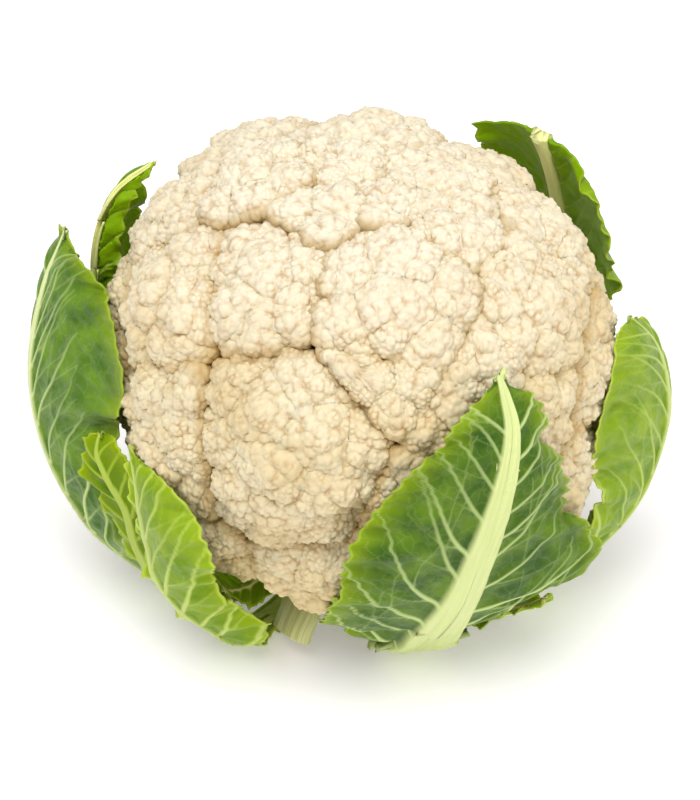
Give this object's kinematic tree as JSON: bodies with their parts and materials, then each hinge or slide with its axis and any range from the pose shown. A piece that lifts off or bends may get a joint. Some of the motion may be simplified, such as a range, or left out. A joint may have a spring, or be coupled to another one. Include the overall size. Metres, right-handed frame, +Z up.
{
  "type": "cauliflower",
  "caption": "Whole cauliflower standing on its cut stalk: a domed head of packed florets held in an open collar of trimmed leaves.",
  "frame": {"origin": "middle of the stalk's flat cut face, which the head stands on", "axes": "+Z up the stalk through the crown of the head, -Y towards the side with the large upright front leaf, +X to the right of it"},
  "size_m": [0.2328, 0.2044, 0.1829],
  "materials": {
    "curd": "matt, finely beaded cream curd, tan in the creases",
    "stalk": "pale green, smooth and slightly waxy flesh",
    "leaf": "satin waxy dark green blade with raised pale veins",
    "young_leaf": "satin yellow-green blade with raised pale veins"
  },
  "bodies": {
    "root": {"stalk": "stalk", "leaf_stub": "stalk", "floret_front": "curd", "floret_front_left": "curd", "floret_front_middle": "curd", "floret_front_low": "curd", "floret_front_knob": "curd", "floret_centre": "curd", "floret_upper_left": "curd", "floret_left": "curd", "floret_right_knob": "curd", "floret_right": "curd", "floret_right_middle": "curd", "floret_right_low": "curd", "floret_top_left": "curd", "floret_top_knob": "curd", "floret_top_right": "curd", "floret_crown": "curd", "floret_crown_right": "curd", "floret_crown_left": "curd", "floret_crown_rear": "curd", "floret_side_upper_right": "curd", "floret_side_upper_left": "curd", "floret_side_left": "curd", "floret_side_right": "curd", "floret_bottom": "curd", "floret_bottom_left": "curd", "floret_bottom_right": "curd", "floret_rear_upper_right": "curd", "floret_rear_upper_left": "curd", "floret_rear_upper": "curd", "floret_rear_left": "curd", "floret_rear_right": "curd", "floret_rear": "curd", "floret_rear_low_right": "curd", "floret_under_left": "curd", "floret_under_right": "curd", "floret_under_rear_left": "curd", "floret_under_rear_right": "curd", "leaf_front_right": "leaf", "leaf_front_left": "young_leaf", "leaf_left": "leaf", "leaf_left_small": "young_leaf", "leaf_right": "young_leaf", "leaf_back_right": "leaf", "leaf_back_left": "leaf", "leaf_back": "leaf", "leaf_low_right": "leaf", "leaf_inner_front": "leaf"}
  },
  "joints": []
}
